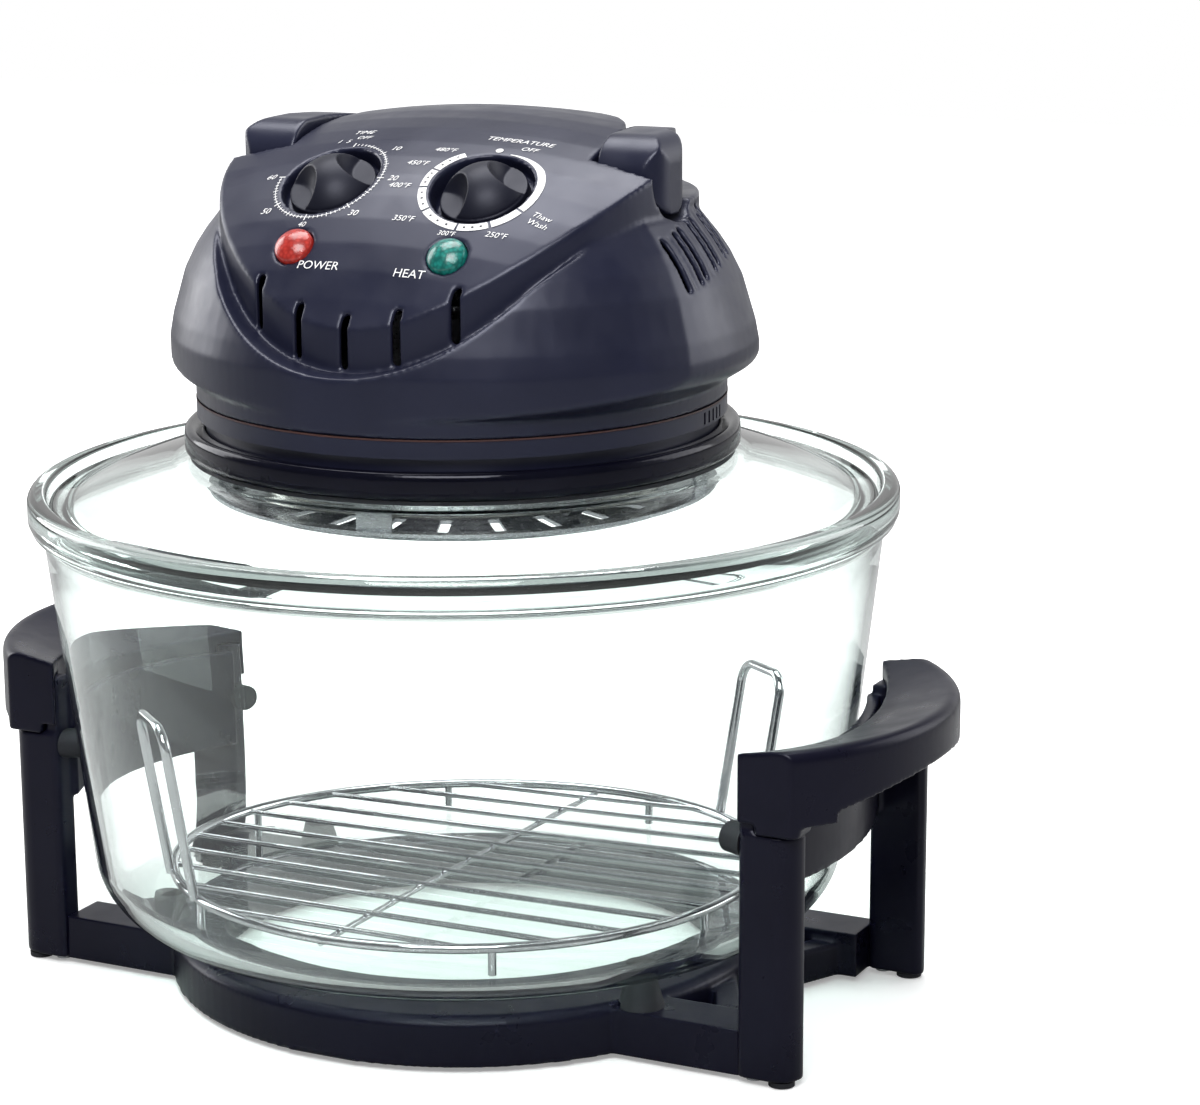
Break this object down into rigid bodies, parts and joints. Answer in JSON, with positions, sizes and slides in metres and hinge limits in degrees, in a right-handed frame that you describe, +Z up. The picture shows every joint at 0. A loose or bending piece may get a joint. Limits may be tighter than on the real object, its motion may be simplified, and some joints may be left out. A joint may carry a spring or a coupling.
{
  "type": "halogen oven",
  "caption": "Countertop halogen oven: clear glass bowl in a black stand with side grips, lift-off glass lid carrying a round heating head with two dials and a folding carry handle.",
  "frame": {"origin": "On the table under the middle of the bowl", "axes": "Z up, front of the head -Y, grips at +X and -X"},
  "size_m": [0.406, 0.344, 0.3475],
  "materials": {
    "stand_plastic": "satin",
    "head_plastic": "satin",
    "gloss_black": "polished",
    "knob_plastic": "satin",
    "inner_plastic": "matte",
    "white_plastic": "matte",
    "rubber": "matte",
    "clear_glass": "polished",
    "lamp_glass": "polished",
    "red_lens": "polished",
    "green_lens": "polished",
    "chrome_wire": "polished",
    "bright_aluminium": "satin",
    "zinc_steel": "satin"
  },
  "bodies": {
    "stand": {"stand_base": "stand_plastic", "left_leg_frame": "stand_plastic", "right_leg_frame": "stand_plastic", "left_grip": "stand_plastic", "right_grip": "stand_plastic", "bowl_pads": "rubber", "side_bumpers": "rubber", "rubber_feet": "rubber", "stand_screws": "zinc_steel"},
    "bowl": {"glass_bowl": "clear_glass"},
    "rack": {"wire_rack": "chrome_wire", "rack_handles": "chrome_wire"},
    "head": {"glass_lid": "clear_glass", "lid_seal": "rubber", "flange_ring": "gloss_black", "lower_housing": "head_plastic", "top_cover": "head_plastic", "power_lens": "red_lens", "heat_lens": "green_lens", "indicator_lamps": "lamp_glass", "timer_body": "zinc_steel", "thermostat_body": "white_plastic", "sensing_bulb": "zinc_steel", "motor_plate": "zinc_steel", "plate_screws": "zinc_steel", "motor": "zinc_steel", "reflector": "bright_aluminium", "reflector_posts": "zinc_steel", "reflector_screws": "zinc_steel", "halogen_lamp": "lamp_glass", "lamp_holders": "white_plastic", "lamp_clips": "zinc_steel", "heater_guard": "bright_aluminium", "guard_brackets": "bright_aluminium", "safety_switch": "inner_plastic", "thermal_cutout": "inner_plastic", "terminal_block": "white_plastic", "cord_inlet": "inner_plastic", "handle_pins": "zinc_steel"},
    "handle": {"carry_handle": "head_plastic"},
    "plunger": {"switch_plunger": "inner_plastic"},
    "rotor": {"motor_shaft": "zinc_steel", "convection_fan": "bright_aluminium", "cooling_fan": "inner_plastic"},
    "timer_dial": {"timer_knob": "knob_plastic", "timer_shaft": "zinc_steel"},
    "temperature_dial": {"temperature_knob": "knob_plastic", "thermostat_shaft": "zinc_steel"}
  },
  "joints": [
    {"name": "bowl_lift", "type": "slide", "parent": "stand", "child": "bowl", "axis": [0, 0, 1], "range_m": [0, 0.13]},
    {"name": "rack_lift", "type": "slide", "parent": "bowl", "child": "rack", "axis": [0, 0, 1], "range_m": [0, 0.06]},
    {"name": "head_lift", "type": "slide", "parent": "bowl", "child": "head", "axis": [0, 0, 1], "range_m": [0, 0.15]},
    {"name": "handle_fold", "type": "hinge", "parent": "head", "child": "handle", "pos_m": [0, 0, 0.328], "axis": [1, 0, 0], "range_deg": [0, 90]},
    {"name": "switch_slide", "type": "slide", "parent": "head", "child": "plunger", "axis": [0, 0, 1], "range_m": [0, 0.003]},
    {"name": "fan_spin", "type": "hinge", "parent": "head", "child": "rotor", "pos_m": [0, 0, 0.25], "axis": [0, 0, 1], "continuous": true},
    {"name": "timer_turn", "type": "hinge", "parent": "head", "child": "timer_dial", "pos_m": [-0.0325, -0.0435, 0.3265], "axis": [0, 0.5107, -0.8598], "range_deg": [0, 290]},
    {"name": "temperature_turn", "type": "hinge", "parent": "head", "child": "temperature_dial", "pos_m": [0.0325, -0.0435, 0.3265], "axis": [0, 0.5107, -0.8598], "range_deg": [0, 270]}
  ],
  "couplings": [
    {"joint": "switch_slide", "follows": "handle_fold", "m_per_rad": 0.0018}
  ]
}
